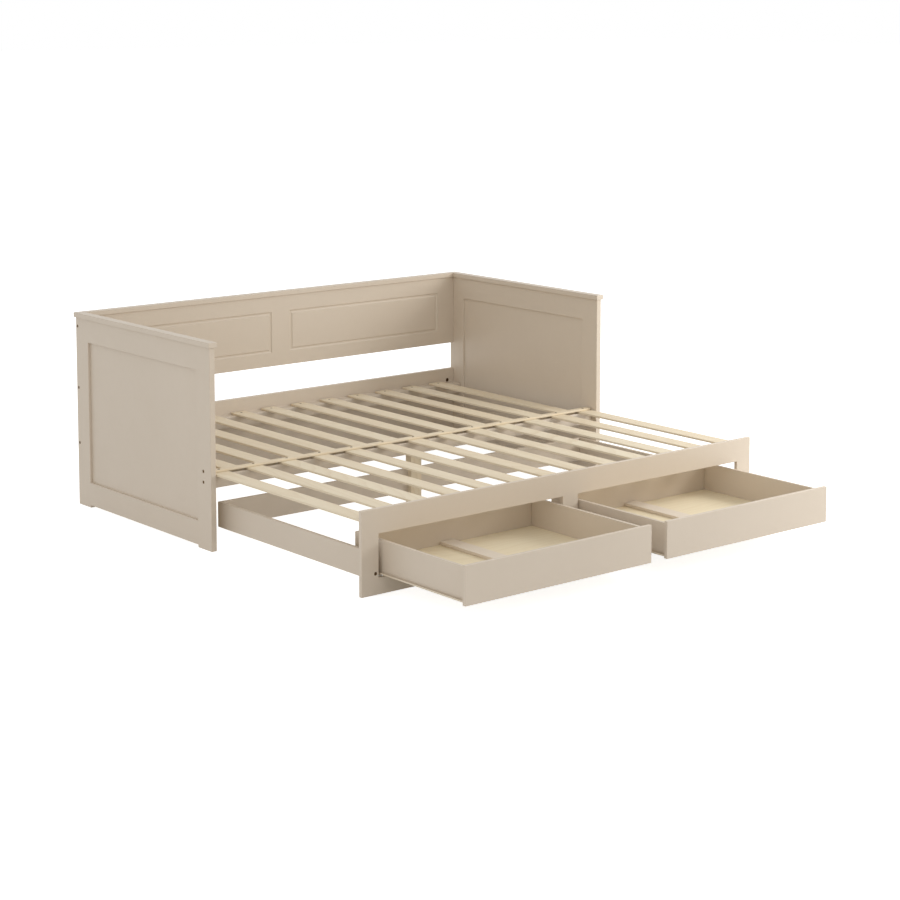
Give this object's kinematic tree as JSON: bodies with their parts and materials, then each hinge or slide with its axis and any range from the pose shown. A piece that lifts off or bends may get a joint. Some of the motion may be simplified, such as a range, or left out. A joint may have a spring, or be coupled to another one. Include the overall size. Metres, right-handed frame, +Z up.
{
  "type": "storage daybed",
  "caption": "Wooden daybed with panelled ends and back, a slatted second bed that pulls out on castors, and drawers in the pull-out's front.",
  "frame": {"origin": "on the floor, under the centre of the bounding box with the second bed pulled out and both drawers open", "axes": "+X to the right as seen from the drawers, +Y from the drawers towards the back panel and the wall, +Z up"},
  "size_m": [1.969, 2.318, 0.78],
  "materials": {
    "cashmere_lacquer": "satin opaque lacquer in a warm grey-beige",
    "pine": "planed pine, clear and matt",
    "plywood": "light plywood, clear and matt",
    "zinc_plated_steel": "zinc plated",
    "castor_plastic": "moulded, matt black"
  },
  "bodies": {
    "bed_frame": {"left_end_frame": "cashmere_lacquer", "right_end_frame": "cashmere_lacquer", "left_end_panel": "cashmere_lacquer", "right_end_panel": "cashmere_lacquer", "left_end_cap": "cashmere_lacquer", "right_end_cap": "cashmere_lacquer", "back_panel": "cashmere_lacquer", "back_cap": "cashmere_lacquer", "lower_back_board": "cashmere_lacquer", "fixed_front_rail": "cashmere_lacquer", "fixed_slat_01": "pine", "fixed_slat_02": "pine", "fixed_slat_03": "pine", "fixed_slat_04": "pine", "fixed_slat_05": "pine", "fixed_slat_06": "pine", "fixed_slat_07": "pine", "fixed_slat_08": "pine", "fixed_slat_09": "pine", "fixed_slat_10": "pine", "fixed_slat_11": "pine", "fixed_slat_12": "pine"},
    "pull_out": {"front_board": "cashmere_lacquer", "left_side_board": "cashmere_lacquer", "right_side_board": "cashmere_lacquer", "rear_board": "cashmere_lacquer", "middle_leg": "pine", "slat_tie_lath": "pine", "moving_slat_01": "pine", "moving_slat_02": "pine", "moving_slat_03": "pine", "moving_slat_04": "pine", "moving_slat_05": "pine", "moving_slat_06": "pine", "moving_slat_07": "pine", "moving_slat_08": "pine", "moving_slat_09": "pine", "moving_slat_10": "pine", "moving_slat_11": "pine", "moving_slat_12": "pine", "moving_slat_13": "pine", "left_runner_rail": "pine", "right_runner_rail": "pine", "middle_runner_rail": "pine", "left_castor_bracket": "zinc_plated_steel", "right_castor_bracket": "zinc_plated_steel"},
    "left_drawer": {"left_drawer_front": "cashmere_lacquer", "left_drawer_left_side": "cashmere_lacquer", "left_drawer_right_side": "cashmere_lacquer", "left_drawer_back": "cashmere_lacquer", "left_drawer_bottom": "plywood", "left_drawer_batten": "cashmere_lacquer"},
    "right_drawer": {"right_drawer_front": "cashmere_lacquer", "right_drawer_left_side": "cashmere_lacquer", "right_drawer_right_side": "cashmere_lacquer", "right_drawer_back": "cashmere_lacquer", "right_drawer_bottom": "plywood", "right_drawer_batten": "cashmere_lacquer"},
    "left_castor": {"left_castor_wheel": "castor_plastic"},
    "right_castor": {"right_castor_wheel": "castor_plastic"}
  },
  "joints": [
    {"name": "pull_out_slide", "type": "slide", "parent": "bed_frame", "child": "pull_out", "axis": [0, 1, 0], "range_m": [0, 0.875]},
    {"name": "left_drawer_slide", "type": "slide", "parent": "pull_out", "child": "left_drawer", "axis": [0, 1, 0], "range_m": [0, 0.4575]},
    {"name": "right_drawer_slide", "type": "slide", "parent": "pull_out", "child": "right_drawer", "axis": [0, 1, 0], "range_m": [0, 0.4575]},
    {"name": "left_castor_spin", "type": "hinge", "parent": "pull_out", "child": "left_castor", "pos_m": [-0.86145, -0.6405, 0.022], "axis": [1, 0, 0], "continuous": true},
    {"name": "right_castor_spin", "type": "hinge", "parent": "pull_out", "child": "right_castor", "pos_m": [0.86145, -0.6405, 0.022], "axis": [1, 0, 0], "continuous": true}
  ]
}
